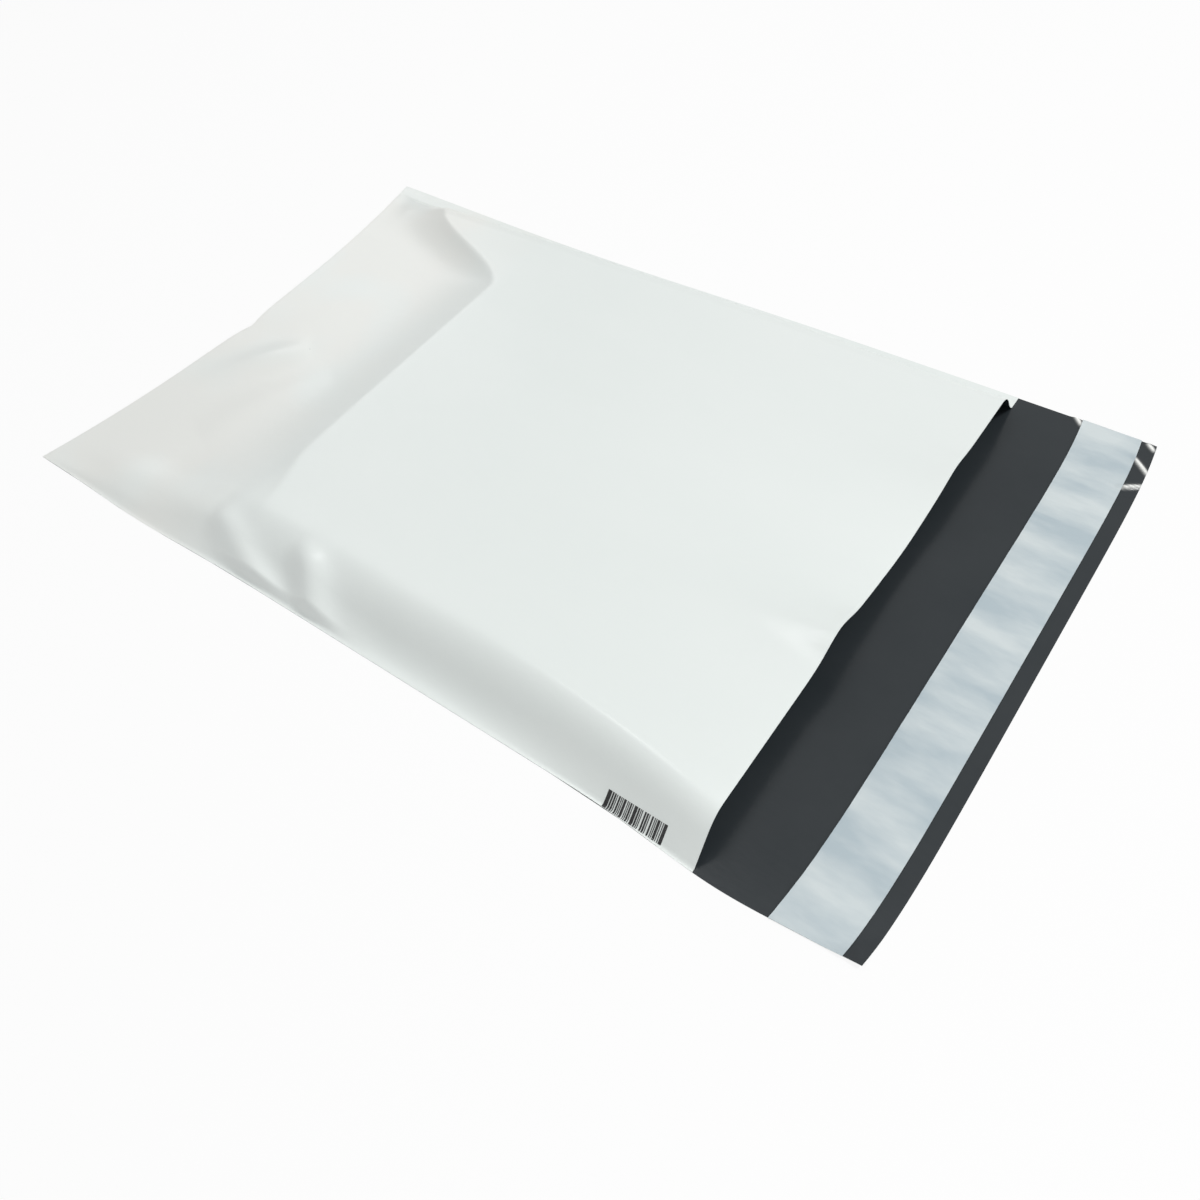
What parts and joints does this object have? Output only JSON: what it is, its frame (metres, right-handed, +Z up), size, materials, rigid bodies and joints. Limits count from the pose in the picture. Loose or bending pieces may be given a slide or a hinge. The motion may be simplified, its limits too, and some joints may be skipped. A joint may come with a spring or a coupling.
{
  "type": "poly mailer bag",
  "caption": "Flat polyethylene mailing bag, open at the mouth, with welded sides and a lip that carries a glue strip under its peel-off liner.",
  "frame": {"origin": "middle of the bag's outline, on the underside of the back panel", "axes": "+X across the bag from the near side seam to the far one, +Y along it from the lip to the closed end, +Z up through the front panel"},
  "size_m": [0.2342, 0.3836, 0.0211],
  "materials": {
    "film": "soft gloss polyethylene film, white outside and dark grey inside",
    "glue": "clear hot-melt glue",
    "liner": "glossy siliconed film"
  },
  "bodies": {
    "root": {"bag_film": "film", "adhesive_strip": "glue", "release_liner": "liner"}
  },
  "joints": []
}
